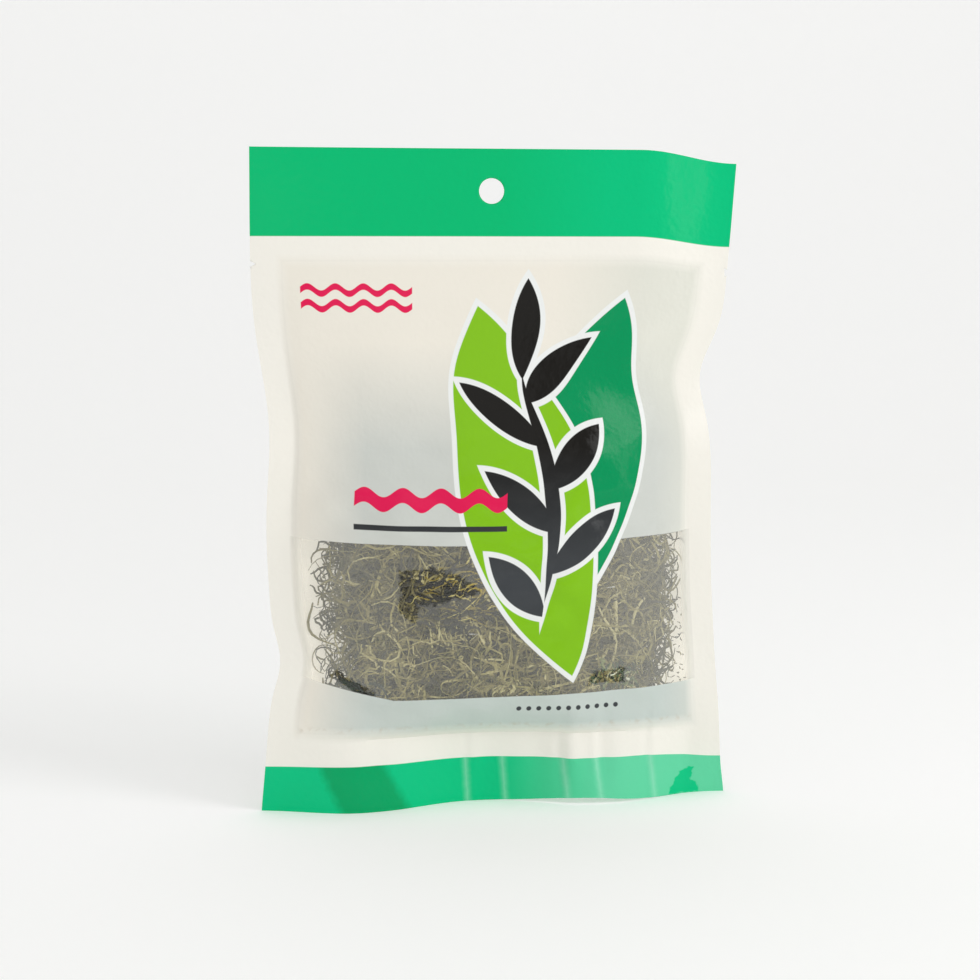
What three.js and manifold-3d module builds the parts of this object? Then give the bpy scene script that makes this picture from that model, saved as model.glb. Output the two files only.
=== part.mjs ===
// A pouch of shredded dried wakame: two sheets of film, heat-sealed to each other round their edges, with a
// tangle of dark shreds inside. The pouch stands on its waved bottom seal, and a round hole in the header
// lets it hang on a peg. Millimetres, +Z up, front towards -Y, origin on the floor under the pouch's middle.

import * as THREE from "three";
import { mergeVertices } from "three/addons/utils/BufferGeometryUtils.js";
import Module from "manifold-3d";

const wasm = await Module();
wasm.setup();

// Driving dimensions
const HEIGHT = 210;
const HALF_WIDTH = 78.5;
const FILM = 0.6;
const SEAL_GAP = 0.3;
const SIDE_SEAL = 9;
const BOTTOM_SEAL = 23.5;
const TOP_SEAL = 35;
const BULGE = 16;
const HANG_HOLE = { x: -2.6, radius: 4, fromTop: 13.2, sides: 20, depth: 30 };
const NOTCH = { fromTop: 36, radius: 1.8, sides: 3, depth: 40 };

// Sheet grid: columns crowd towards the side seals, rows towards the waved bottom
const SHEET_COLUMNS = 22;
const SHEET_ROWS = 28;
const COLUMN_CROWDING = 0.35;
const ROW_CROWDING = 1.25;

// Each edge's place at a height is a base line and soft dips, given as depth, height of the middle, and width
const LEFT_EDGE = { base: -HALF_WIDTH, dips: [[4.3, 124, 26.5], [5.4, 54, 52], [2.8, 48.5, 9.8]] };
const RIGHT_EDGE = { base: 82, dips: [[-12.6, 91, 104.5], [-4.7, 140, 13.6]] };

// Waves of the flat seals, as how far the film stands forward (-) or back (+) of the middle plane
const BOTTOM_WAVE = { depth: 5.5, length: 78, crestAt: -45.5, fadeHeight: 30 };
const LEFT_WAVE = { depth: 2.2, length: 104, crestAt: 66 };
const RIGHT_BUCKLE = { depth: 6.5, at: 131, width: 17 };
const HEADER_CURL = { depth: 7, drop: 3.9, startAt: 0.58, fadeHeight: 62 };
const CORNER_DROP = { drop: 2.6, startAt: 0.6, at: 13, width: 13 };
const EDGE_SHARPNESS = 3;

// Pillow of the filled part: fullest low down, flat towards the empty top
const SIDE_ROUND = 0.75;
const BELLY_LOW = 0.72;
const BELLY_ROUND = 0.85;
const EMPTY_TOP = { from: 0.55, loss: 0.4 };
const PRINT_SAG = 2.3;

// Tangle of shreds: a core that follows the film, under layers of wavy strands whose ends are sunk in it
const TANGLE = { x: 0, z: 81, halfWidth: 51, halfHeight: 54.5, squareness: 0.72 };
const CORE = { inset: 6.2, least: 0.3, rimPower: 5, share: 0.94, around: 22, across: 10 };
const STRAND = { radius: 0.8, sides: 3, step: 9.5, clearance: 0.7, drawIn: 0.04 };
const STRAND_WAVE = { depth: 2.2, shortest: 40, longest: 66 };
const LAYERS = [
  { lift: 1, heading: 0.3, strands: 12, rootShare: 0.84 },
  { lift: 2.7, heading: 1.4, strands: 12, rootShare: 0.76 },
  { lift: 4.4, heading: 2.5, strands: 12, rootShare: 0.68 },
];
const STRAYS = { count: 16, points: 5, step: 6.5, turn: 1.5 };
const SEED = 20118;

const FRONT = -1;
const BACK = 1;

const filmMaterial = new THREE.MeshStandardMaterial({
  color: 0xece9df,
  roughness: 0.22,
  metalness: 0,
  transparent: true,
  opacity: 0.45,
});
const seaweedMaterial = new THREE.MeshStandardMaterial({ color: 0x55502f, roughness: 0.7, metalness: 0 });

// Seeded random numbers from 0 to 1, the same on each run
function seededRandom(seed) {
  let state = seed >>> 0;
  return () => {
    state = (state + 0x6d2b79f5) >>> 0;
    let mixed = Math.imul(state ^ (state >>> 15), state | 1);
    mixed ^= mixed + Math.imul(mixed ^ (mixed >>> 7), mixed | 61);
    return ((mixed ^ (mixed >>> 14)) >>> 0) / 2 ** 32;
  };
}

const hump = (at, middle, width) => Math.exp(-(((at - middle) / width) ** 2));

function edgeAt(edge, z) {
  return edge.dips.reduce((x, [depth, middle, width]) => x + depth * hump(z, middle, width), edge.base);
}

// Across the pouch, u runs from -1 at the left edge to 1 at the right edge
function xAt(u, z) {
  return THREE.MathUtils.mapLinear(u, -1, 1, edgeAt(LEFT_EDGE, z), edgeAt(RIGHT_EDGE, z));
}

function uAt(x, z) {
  return THREE.MathUtils.mapLinear(x, edgeAt(LEFT_EDGE, z), edgeAt(RIGHT_EDGE, z), -1, 1);
}

// Depth of the plane halfway between the sheets
function middleY(u, z) {
  const wavePhase = (2 * Math.PI * (xAt(u, z) - BOTTOM_WAVE.crestAt)) / BOTTOM_WAVE.length;
  const bottom = -BOTTOM_WAVE.depth * Math.cos(wavePhase) * hump(z, 0, BOTTOM_WAVE.fadeHeight);
  const leftPhase = (2 * Math.PI * (z - LEFT_WAVE.crestAt)) / LEFT_WAVE.length;
  const left = LEFT_WAVE.depth * Math.cos(leftPhase) * Math.max(-u, 0) ** EDGE_SHARPNESS;
  const buckle = RIGHT_BUCKLE.depth * hump(z, RIGHT_BUCKLE.at, RIGHT_BUCKLE.width);
  const right = buckle * Math.max(u, 0) ** EDGE_SHARPNESS;
  const curl = HEADER_CURL.depth * headerCurl(u, z);
  return bottom + left + right + curl;
}

// Share of the curl at the header's right end: none at the middle, full at the top corner
function headerCurl(u, z) {
  return THREE.MathUtils.smoothstep(u, HEADER_CURL.startAt, 1) * hump(z, HEIGHT, HEADER_CURL.fadeHeight);
}

// Half the room between the sheets: nothing on the seals, a pillow between them
function halfRoom(u, b) {
  const across = Math.abs(u) / (1 - SIDE_SEAL / HALF_WIDTH);
  const up = (b - BOTTOM_SEAL) / (HEIGHT - TOP_SEAL - BOTTOM_SEAL);
  if (across >= 1 || up <= 0 || up >= 1) return 0;
  const round = (1 - across ** 2) ** SIDE_ROUND;
  const belly = Math.sin(Math.PI * up ** BELLY_LOW) ** BELLY_ROUND;
  const empty = 1 - EMPTY_TOP.loss * THREE.MathUtils.smoothstep(up, EMPTY_TOP.from, 1);
  return BULGE * round * belly * empty;
}

// How far the film hangs below its flat place: over the belly, at the curled header and at the right foot
function sagAt(u, b) {
  const belly = (PRINT_SAG * halfRoom(u, b)) / BULGE;
  const curl = HEADER_CURL.drop * headerCurl(u, b);
  const rightEnd = THREE.MathUtils.smoothstep(u, CORNER_DROP.startAt, 1);
  const clearOfFloor = THREE.MathUtils.smoothstep(b, 0, CORNER_DROP.at);
  const corner = rightEnd * clearOfFloor * hump(b, CORNER_DROP.at, CORNER_DROP.width);
  return belly + curl + CORNER_DROP.drop * corner;
}

// A point of a sheet: u across, b up the flat film, and a distance outwards from the sheet's inner face
function sheetPoint(side, u, b, outwards) {
  const z = b - sagAt(u, b);
  const y = middleY(u, b) + side * (SEAL_GAP / 2 + halfRoom(u, b) + outwards);
  return new THREE.Vector3(xAt(u, b), y, z);
}

// Closed sheet of film: a grid of points on each face, split into triangles alike, with a rim between them
function sheetGeometry(side) {
  const positions = [];
  const columns = SHEET_COLUMNS + 1;
  const faceSize = columns * (SHEET_ROWS + 1);
  for (const outwards of [0, FILM]) {
    for (let row = 0; row <= SHEET_ROWS; row++) {
      const b = HEIGHT * (row / SHEET_ROWS) ** ROW_CROWDING;
      for (let column = 0; column < columns; column++) {
        const even = THREE.MathUtils.mapLinear(column, 0, SHEET_COLUMNS, -1, 1);
        const crowded = Math.sin((even * Math.PI) / 2);
        const u = THREE.MathUtils.lerp(even, crowded, COLUMN_CROWDING);
        positions.push(...sheetPoint(side, u, b, outwards).toArray());
      }
    }
  }
  const index = [];
  const quad = (a, b, c, d) => {
    if (side === FRONT) index.push(a, b, c, a, c, d);
    else index.push(a, c, b, a, d, c);
  };
  for (let row = 0; row < SHEET_ROWS; row++) {
    for (let column = 0; column < SHEET_COLUMNS; column++) {
      const a = row * columns + column;
      const [b, c, d] = [a + 1, a + columns + 1, a + columns];
      // The two faces wind opposite ways, and both are cut from a to c
      if (side === FRONT) index.push(a, c, b, a, d, c);
      else index.push(a, b, c, a, c, d);
      quad(a + faceSize, b + faceSize, c + faceSize, d + faceSize);
    }
  }
  const rim = [];
  for (let column = 0; column < SHEET_COLUMNS; column++) rim.push(column);
  for (let row = 0; row < SHEET_ROWS; row++) rim.push(row * columns + SHEET_COLUMNS);
  for (let column = SHEET_COLUMNS; column > 0; column--) rim.push(SHEET_ROWS * columns + column);
  for (let row = SHEET_ROWS; row > 0; row--) rim.push(row * columns);
  rim.forEach((from, i) => {
    const to = rim[(i + 1) % rim.length];
    quad(from, to, to + faceSize, from + faceSize);
  });
  const geometry = new THREE.BufferGeometry();
  geometry.setAttribute("position", new THREE.Float32BufferAttribute(positions, 3));
  geometry.setIndex(index);
  return geometry;
}

// Geometry to solid and back, for cuts and joins
function solidOf(geometry) {
  const bare = geometry.clone();
  bare.deleteAttribute("normal");
  bare.deleteAttribute("uv");
  const merged = mergeVertices(bare);
  return new wasm.Manifold(
    new wasm.Mesh({
      numProp: 3,
      vertProperties: new Float32Array(merged.getAttribute("position").array),
      triVerts: new Uint32Array(merged.getIndex().array),
    }),
  );
}

function geometryOf(solid) {
  const mesh = solid.getMesh();
  const geometry = new THREE.BufferGeometry();
  geometry.setAttribute("position", new THREE.BufferAttribute(mesh.vertProperties, 3));
  geometry.setIndex(new THREE.BufferAttribute(mesh.triVerts, 1));
  geometry.computeVertexNormals();
  return geometry;
}

// Punch through both sheets along Y
function punch({ radius, depth, sides }, x, z) {
  const tool = new THREE.CylinderGeometry(radius, radius, depth, sides);
  return solidOf(tool.translate(x, 0, z));
}

function sheetSolid(side) {
  const holeHeight = HEIGHT - HANG_HOLE.fromTop;
  const notchHeight = HEIGHT - NOTCH.fromTop;
  const cuts = [punch(HANG_HOLE, HANG_HOLE.x, holeHeight)];
  for (const edge of [-1, 1]) {
    const { x, z } = sheetPoint(side, edge, notchHeight, 0);
    cuts.push(punch(NOTCH, x, z));
  }
  return cuts.reduce((sheet, cut) => sheet.subtract(cut), solidOf(sheetGeometry(side)));
}

// Half-thickness of the tangle's core where the strands lie on it
function coreDepth(x, z) {
  const room = halfRoom(uAt(x, z), z);
  return Math.max(room - CORE.inset, CORE.least * room);
}

// Core of the tangle: a ball spread to the tangle's squared-off outline and to the film's bulge
function coreSolid() {
  const ball = new THREE.SphereGeometry(1, CORE.around, CORE.across);
  const place = ball.getAttribute("position");
  for (let i = 0; i < place.count; i++) {
    const radius = Math.min(Math.hypot(place.getX(i), place.getZ(i)), 1);
    const angle = Math.atan2(place.getZ(i), place.getX(i));
    const spread = (part) => Math.sign(part) * Math.abs(part) ** TANGLE.squareness;
    const x = TANGLE.x + CORE.share * TANGLE.halfWidth * radius * spread(Math.cos(angle));
    const z = TANGLE.z + CORE.share * TANGLE.halfHeight * radius * spread(Math.sin(angle));
    const thickness = coreDepth(x, z) * Math.sqrt(1 - radius ** CORE.rimPower);
    place.setXYZ(i, x, middleY(uAt(x, z), z) + Math.sign(place.getY(i)) * thickness, z);
  }
  return solidOf(ball);
}

// Place in the pouch at a depth from the middle plane, drawn in from the seals and kept clear of the film
function placeInside(side, x, z, depth) {
  const spot = new THREE.Vector2(x, z);
  const middle = new THREE.Vector2(TANGLE.x, TANGLE.z);
  const roomAt = ({ x: across, y: up }) => halfRoom(uAt(across, up), up) - STRAND.radius - STRAND.clearance;
  while (roomAt(spot) < STRAND.radius) spot.lerp(middle, STRAND.drawIn);
  const u = uAt(spot.x, spot.y);
  return new THREE.Vector3(spot.x, middleY(u, spot.y) + side * Math.min(depth, roomAt(spot)), spot.y);
}

// Three-sided tube through the points
function tubeSolid(points) {
  const section = new THREE.Shape();
  for (let i = 0; i < STRAND.sides; i++) {
    const turn = (2 * Math.PI * i) / STRAND.sides;
    const corner = [STRAND.radius * Math.cos(turn), STRAND.radius * Math.sin(turn)];
    if (i) section.lineTo(...corner);
    else section.moveTo(...corner);
  }
  const extrudePath = new THREE.CatmullRomCurve3(points);
  const options = { steps: points.length, bevelEnabled: false, extrudePath };
  return solidOf(new THREE.ExtrudeGeometry(section, options));
}

// How far out a spot is: 0 at the tangle's middle, 1 on its outline
function outlineShare(x, z) {
  const power = 2 / TANGLE.squareness;
  const across = Math.abs((x - TANGLE.x) / TANGLE.halfWidth) ** power;
  const up = Math.abs((z - TANGLE.z) / TANGLE.halfHeight) ** power;
  return (across + up) ** (1 / power);
}

// One strand of a layer: it leaves the core near the rim, runs wavily over it, and goes back in
function strandSolid(random, side, { lift, heading, rootShare }, offset) {
  const longest = 2 * TANGLE.halfHeight;
  const wave = (2 * Math.PI) / THREE.MathUtils.lerp(STRAND_WAVE.shortest, STRAND_WAVE.longest, random());
  const phase = 2 * Math.PI * random();
  const middle = new THREE.Vector2(TANGLE.x, TANGLE.z);
  const points = [];
  for (let along = -longest + STRAND.step * random(); along < longest; along += STRAND.step) {
    const sideways = offset + STRAND_WAVE.depth * Math.sin(wave * along + phase);
    const spot = new THREE.Vector2(along, sideways).rotateAround(new THREE.Vector2(), heading).add(middle);
    const share = outlineShare(spot.x, spot.y);
    const depth = share < rootShare ? coreDepth(spot.x, spot.y) + lift : 0;
    if (share < CORE.share) points.push(placeInside(side, spot.x, spot.y, depth));
  }
  return tubeSolid(points);
}

// A stray: it starts inside the core and pokes out of the tangle's side or top, with its end free
function straySolid(random, side, heading) {
  const inside = 1 - (STRAYS.points * STRAYS.step) / 2 / TANGLE.halfWidth;
  let x = TANGLE.x + inside * TANGLE.halfWidth * Math.cos(heading);
  let z = TANGLE.z + inside * TANGLE.halfHeight * Math.sin(heading);
  let angle = heading;
  const points = [];
  for (let i = 0; i < STRAYS.points; i++) {
    points.push(placeInside(side, x, z, (coreDepth(x, z) * i) / STRAYS.points));
    angle += (random() - 0.5) * STRAYS.turn;
    x += STRAYS.step * Math.cos(angle);
    z += STRAYS.step * Math.sin(angle);
  }
  return tubeSolid(points);
}

// Core, strands and strays joined in one body
function tangleSolid() {
  const random = seededRandom(SEED);
  const solids = [coreSolid()];
  for (const side of [FRONT, BACK]) {
    for (const layer of LAYERS) {
      const halfSpan = layer.rootShare * TANGLE.halfWidth;
      for (let n = 0; n < layer.strands; n++) {
        const offset = THREE.MathUtils.mapLinear(n, 0, layer.strands - 1, -halfSpan, halfSpan);
        solids.push(strandSolid(random, side, layer, offset));
      }
    }
  }
  for (let n = 0; n < STRAYS.count; n++) {
    const heading = (2 * Math.PI * (n + random())) / STRAYS.count;
    solids.push(straySolid(random, n % 2 ? FRONT : BACK, heading));
  }
  const [tangle] = wasm.Manifold.union(solids)
    .decompose()
    .sort((a, b) => b.volume() - a.volume());
  return tangle;
}

function namedMesh(name, solid, material) {
  const mesh = new THREE.Mesh(geometryOf(solid), material);
  mesh.name = name;
  return mesh;
}

const pouch = new THREE.Group();
pouch.add(namedMesh("pouch_front", sheetSolid(FRONT), filmMaterial));
pouch.add(namedMesh("pouch_back", sheetSolid(BACK), filmMaterial));
pouch.add(namedMesh("seaweed_tangle", tangleSolid(), seaweedMaterial));

export default pouch;
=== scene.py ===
"""A film pouch of dried wakame shreds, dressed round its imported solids.

The pouch is two printed sheets of glossy film, sealed to each other round their edges, with thousands of
curled shreds between them. Sizes are in millimetres here and become metres when a mesh is made. Across the
pouch, u runs from -1 at the left edge to 1 at the right edge, and b is the height on the flat film.
"""

from __future__ import annotations

import logging
import math
from dataclasses import dataclass, field
from enum import Enum
from functools import reduce
from typing import Any, Union

import bmesh
import bpy
import numpy as np
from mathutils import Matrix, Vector

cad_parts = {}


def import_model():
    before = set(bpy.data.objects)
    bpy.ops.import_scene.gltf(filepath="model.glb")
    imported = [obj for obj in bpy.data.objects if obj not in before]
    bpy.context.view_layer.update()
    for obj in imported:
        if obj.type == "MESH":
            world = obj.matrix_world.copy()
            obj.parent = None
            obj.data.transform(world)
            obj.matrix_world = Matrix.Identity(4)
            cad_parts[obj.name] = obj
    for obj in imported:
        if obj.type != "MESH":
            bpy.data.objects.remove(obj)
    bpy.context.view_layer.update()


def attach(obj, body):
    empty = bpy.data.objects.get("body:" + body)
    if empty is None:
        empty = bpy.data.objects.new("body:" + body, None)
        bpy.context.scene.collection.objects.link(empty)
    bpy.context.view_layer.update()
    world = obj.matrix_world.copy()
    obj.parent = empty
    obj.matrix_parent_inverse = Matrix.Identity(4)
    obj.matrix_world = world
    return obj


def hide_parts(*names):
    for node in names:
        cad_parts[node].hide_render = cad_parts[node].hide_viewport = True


LOG = logging.getLogger("wakame_pouch")
MM = 0.001
BODY = "root"
TURN = 2.0 * math.pi
WELD_DISTANCE = 1e-6
TINY = 1e-9
FLAT_UNIT = 100.0
NOISE_MIDDLE = 0.5
SECTION_CORNERS = 4

# The curve of display colours: a straight foot, and a power above it.
CURVE_FOOT = 0.04045
CURVE_SLOPE = 12.92
CURVE_SHIFT = 0.055
CURVE_POWER = 2.4

Array = np.ndarray
Colour = tuple[float, float, float]
WHITE: Colour = (1.0, 1.0, 1.0)
BLACK: Colour = (0.0, 0.0, 0.0)


def linear(red: int, green: int, blue: int) -> Colour:
    """Takes a display colour to linear light.

    Args:
        red: 0 to 255.
        green: 0 to 255.
        blue: 0 to 255.

    Returns:
        The same colour, each part from 0 to 1.
    """
    shares = np.array([red, green, blue]) / 255.0
    raised = ((shares + CURVE_SHIFT) / (1.0 + CURVE_SHIFT)) ** CURVE_POWER
    return tuple(np.where(shares < CURVE_FOOT, shares / CURVE_SLOPE, raised).tolist())


def hump(at: Array, middle: float, width: float) -> Array:
    """A bell curve: 1 at the middle, falling off over the width."""
    return np.exp(-(((at - middle) / width) ** 2))


def smoothstep(value: Array, low: float, high: float) -> Array:
    """0 below low, 1 above high, and a smooth S between them."""
    share = np.clip((value - low) / (high - low), 0.0, 1.0)
    return share * share * (3.0 - 2.0 * share)


def lerp(start: Array, end: Array, share: Array) -> Array:
    """The value that lies the given share of the way from start to end."""
    return start + (end - start) * share


class Side(Enum):
    """Which sheet of film, as the sign of its Y."""

    FRONT = -1
    BACK = 1


class Zone(Enum):
    """Which part of the print a material covers, as the material's name."""

    FRONT = "printed_film_front"
    WINDOW = "window_film"
    BACK = "printed_film_back"


# Shader maths


Value = Union["Wire", float]


class Wire:
    """A node's output socket. Python operators on it add Math nodes."""

    def __init__(self, board: "Board", socket: bpy.types.NodeSocket) -> None:
        """Keeps the board and the socket."""
        self.board = board
        self.socket = socket

    def __add__(self, other: Value) -> "Wire":
        """self + other."""
        return self.board.maths("ADD", self, other)

    def __radd__(self, other: Value) -> "Wire":
        """other + self."""
        return self.board.maths("ADD", other, self)

    def __sub__(self, other: Value) -> "Wire":
        """self - other."""
        return self.board.maths("SUBTRACT", self, other)

    def __rsub__(self, other: Value) -> "Wire":
        """other - self."""
        return self.board.maths("SUBTRACT", other, self)

    def __mul__(self, other: Value) -> "Wire":
        """self times other."""
        return self.board.maths("MULTIPLY", self, other)

    def __rmul__(self, other: Value) -> "Wire":
        """other times self."""
        return self.board.maths("MULTIPLY", other, self)

    def __truediv__(self, other: Value) -> "Wire":
        """self over other."""
        return self.board.maths("DIVIDE", self, other)

    def __rtruediv__(self, other: Value) -> "Wire":
        """other over self."""
        return self.board.maths("DIVIDE", other, self)

    def __abs__(self) -> "Wire":
        """The size of self without its sign."""
        return self.board.maths("ABSOLUTE", self)

    def least(self, other: Value) -> "Wire":
        """The smaller of the two."""
        return self.board.maths("MINIMUM", self, other)

    def most(self, other: Value) -> "Wire":
        """The larger of the two."""
        return self.board.maths("MAXIMUM", self, other)

    def sine(self) -> "Wire":
        """The sine of self, in radians."""
        return self.board.maths("SINE", self)

    def inside(self, soft: float) -> "Wire":
        """1 where this signed distance is below 0, 0 where it is above, over an edge that is soft wide."""
        return self.board.maths("ADD", self * (-1.0 / soft), 0.5, clamp=True)

    def ramp(self, over: float) -> "Wire":
        """0 where self is below 0, climbing to 1 where it reaches over."""
        return self.board.maths("MULTIPLY", self, 1.0 / over, clamp=True)


class Board:
    """A material's node tree, and the one method that adds nodes to it."""

    def __init__(self, name: str) -> None:
        """Makes an empty material with an output and a Principled shader.

        Args:
            name: the material's name.
        """
        self.material = bpy.data.materials.new(name)
        self.material.use_nodes = True
        self.tree = self.material.node_tree
        self.tree.nodes.clear()
        self.shader = self.add("ShaderNodeBsdfPrincipled", {}, {})
        self.add("ShaderNodeOutputMaterial", {}, {"Surface": Wire(self, self.shader.outputs[0])})

    def feed(self, node: bpy.types.Node, sockets: dict[str, Any]) -> None:
        """Sets or links a node's inputs.

        Args:
            node: the node to feed.
            sockets: values or wires, each under its input's identifier or name.
        """
        for key, value in sockets.items():
            by_identifier = [s for s in node.inputs if s.identifier == key]
            target = by_identifier[0] if by_identifier else node.inputs[key]
            if isinstance(value, Wire):
                self.tree.links.new(value.socket, target)
            else:
                target.default_value = value

    def add(self, kind: str, settings: dict[str, Any], sockets: dict[str, Any]) -> bpy.types.Node:
        """Adds one node.

        Args:
            kind: the node's type name.
            settings: attributes that are set first; stops gives a colour ramp's stops as place and colour.
            sockets: values or wires for the inputs, by identifier or name.

        Returns:
            The node.
        """
        made = self.tree.nodes.new(kind)
        for key, value in settings.items():
            if key == "stops":
                elements = made.color_ramp.elements
                while len(elements) < len(value):
                    elements.new(1.0)
                for element, (place, colour) in zip(elements, value):
                    element.position = place
                    element.color = (*colour, 1.0)
            else:
                setattr(made, key, value)
        self.feed(made, sockets)
        return made

    def node(self, kind: str, settings: dict[str, Any], sockets: dict[str, Any], out: str = "") -> Wire:
        """Adds one node for one of its outputs.

        Args:
            kind: the node's type name.
            settings: attributes that are set first.
            sockets: values or wires for the inputs.
            out: the identifier of the output to return, or nothing for the first one.

        Returns:
            The output as a wire.
        """
        made = self.add(kind, settings, sockets)
        found = [s for s in made.outputs if s.identifier == out]
        return Wire(self, found[0] if found else made.outputs[0])

    def maths(self, operation: str, first: Value, second: Value = 0.0, clamp: bool = False) -> Wire:
        """Adds a Math node of one operation on one or two values."""
        settings = {"operation": operation, "use_clamp": clamp}
        return self.node("ShaderNodeMath", settings, {"Value": first, "Value_001": second})

    def mix(self, share: Value, under: Any, over: Any) -> Wire:
        """Mixes two colours.

        Args:
            share: 0 gives the colour under, 1 the colour over.
            under: a colour or a wire.
            over: a colour or a wire.

        Returns:
            The mixed colour.
        """
        as_colour = [c if isinstance(c, Wire) else (*c, 1.0) for c in (under, over)]
        sockets = {"Factor_Float": share, "A_Color": as_colour[0], "B_Color": as_colour[1]}
        return self.node("ShaderNodeMix", {"data_type": "RGBA"}, sockets, "Result_Color")

    def split(self, vector: Wire) -> tuple[Wire, Wire, Wire]:
        """The three parts of a vector."""
        made = self.add("ShaderNodeSeparateXYZ", {}, {"Vector": vector})
        return tuple(Wire(self, s) for s in made.outputs)

    def noise(self, place: Wire, scale: float, detail: float = 2.0, flat: bool = False) -> Wire:
        """Noise of 0 to 1 over a place, at a scale; flat noise reads only the first two coordinates."""
        sockets = {"Vector": place, "Scale": scale, "Detail": detail}
        return self.node("ShaderNodeTexNoise", {"noise_dimensions": "2D" if flat else "3D"}, sockets)

    def object_place(self) -> Wire:
        """The Object coordinates, in metres."""
        return self.node("ShaderNodeTexCoord", {}, {}, "Object")

    def sheet_place(self) -> Wire:
        """The piece's own UV map."""
        return self.node("ShaderNodeTexCoord", {}, {}, "UV")

    def bump(self, height: Wire, strength: float, distance: float) -> Wire:
        """A bumped normal from a height."""
        sockets = {"Height": height, "Strength": strength, "Distance": distance}
        return self.node("ShaderNodeBump", {}, sockets)


# The pouch's form


@dataclass(frozen=True)
class PouchForm:
    """The pouch's shape, by the same formulas and sizes as its solids. Millimetres.

    A dip or the buckle is a depth, a middle height and a width, and the left wave a depth, a length and a
    crest. The corner is a drop, where it starts across, a middle height and a width.
    """

    height: float = 210.0
    half_width: float = 78.5
    side_seal: float = 9.0
    bottom_seal: float = 23.5
    top_seal: float = 35.0
    bulge: float = 16.0
    left_base: float = -78.5
    left_dips: tuple = ((4.3, 124.0, 26.5), (5.4, 54.0, 52.0), (2.8, 48.5, 9.8))
    right_base: float = 82.0
    right_dips: tuple = ((-12.6, 91.0, 104.5), (-4.7, 140.0, 13.6))
    wave_depth: float = 5.5
    wave_length: float = 78.0
    wave_crest: float = -45.5
    wave_fade: float = 30.0
    left_wave: tuple = (2.2, 104.0, 66.0)
    buckle: tuple = (6.5, 131.0, 17.0)
    curl_depth: float = 7.0
    curl_drop: float = 3.9
    curl_start: float = 0.58
    curl_fade: float = 62.0
    corner: tuple = (2.6, 0.6, 13.0, 13.0)
    edge_sharpness: float = 3.0
    side_round: float = 0.75
    belly_low: float = 0.72
    belly_round: float = 0.85
    empty_from: float = 0.55
    empty_loss: float = 0.4
    print_sag: float = 2.3

    def edge(self, base: float, dips: tuple, z: Array) -> Array:
        """An edge's X at a height: its base line and soft dips."""
        return base + sum(depth * hump(z, middle, width) for depth, middle, width in dips)

    def edges(self, z: Array) -> tuple[Array, Array]:
        """X of the left and the right edge at a height."""
        sides = ((self.left_base, self.left_dips), (self.right_base, self.right_dips))
        return tuple(self.edge(base, dips, z) for base, dips in sides)

    def x_at(self, u: Array, z: Array) -> Array:
        """X of a place across the pouch at a height."""
        left, right = self.edges(z)
        return lerp(left, right, (u + 1.0) / 2.0)

    def u_at(self, x: Array, z: Array) -> Array:
        """The place across the pouch of an X at a height."""
        left, right = self.edges(z)
        return 2.0 * (x - left) / (right - left) - 1.0

    def header_curl(self, u: Array, z: Array) -> Array:
        """Share of the curl at the header's right end."""
        return smoothstep(u, self.curl_start, 1.0) * hump(z, self.height, self.curl_fade)

    def middle_y(self, u: Array, z: Array) -> Array:
        """Y of the plane halfway between the sheets.

        It is the sum of the foot's wave, the left edge's wave, the right edge's buckle and the curl.

        Args:
            u: places across.
            z: heights.

        Returns:
            Y at each place.
        """
        phase = TURN * (self.x_at(u, z) - self.wave_crest) / self.wave_length
        foot = -self.wave_depth * np.cos(phase) * hump(z, 0.0, self.wave_fade)
        depth, length, crest = self.left_wave
        left = depth * np.cos(TURN * (z - crest) / length)
        left = left * np.maximum(-u, 0.0) ** self.edge_sharpness
        depth, middle, width = self.buckle
        right = depth * hump(z, middle, width) * np.maximum(u, 0.0) ** self.edge_sharpness
        return foot + left + right + self.curl_depth * self.header_curl(u, z)

    def half_room(self, u: Array, b: Array) -> Array:
        """Half the room between the sheets: nothing on the seals, a pillow between them.

        Args:
            u: places across.
            b: heights on the flat film.

        Returns:
            The distance from the middle plane to either sheet.
        """
        across = np.clip(np.abs(u) / (1.0 - self.side_seal / self.half_width), 0.0, 1.0)
        between = self.height - self.top_seal - self.bottom_seal
        up = np.clip((b - self.bottom_seal) / between, 0.0, 1.0)
        rounded = (1.0 - across**2) ** self.side_round
        belly = np.maximum(np.sin(math.pi * up**self.belly_low), 0.0) ** self.belly_round
        filled = 1.0 - self.empty_loss * smoothstep(up, self.empty_from, 1.0)
        return self.bulge * rounded * belly * filled

    def sag(self, u: Array, b: Array) -> Array:
        """How far the film hangs below its flat place: over the belly, at the curl and at the right foot.

        Args:
            u: places across.
            b: heights on the flat film.

        Returns:
            The drop in Z.
        """
        belly = self.print_sag * self.half_room(u, b) / self.bulge
        drop, start, middle, width = self.corner
        corner = smoothstep(u, start, 1.0) * smoothstep(b, 0.0, middle) * hump(b, middle, width)
        return belly + self.curl_drop * self.header_curl(u, b) + drop * corner


def ripples(x: Array, z: Array, rng: np.random.Generator, count: int, short: float, long: float) -> Array:
    """A sum of plane waves with random directions, phases and wavelengths between short and long.

    Args:
        x: first coordinate.
        z: second coordinate.
        rng: the seeded draw.
        count: how many waves.
        short: the shortest wavelength.
        long: the longest wavelength.

    Returns:
        Heights of about -1 to 1.
    """
    total = np.zeros_like(x)
    for _ in range(count):
        angle, phase = rng.uniform(0.0, TURN, 2)
        wave = TURN / rng.uniform(short, long)
        total += np.cos(wave * (x * math.cos(angle) + z * math.sin(angle)) + phase)
    return total / math.sqrt(count)


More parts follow.
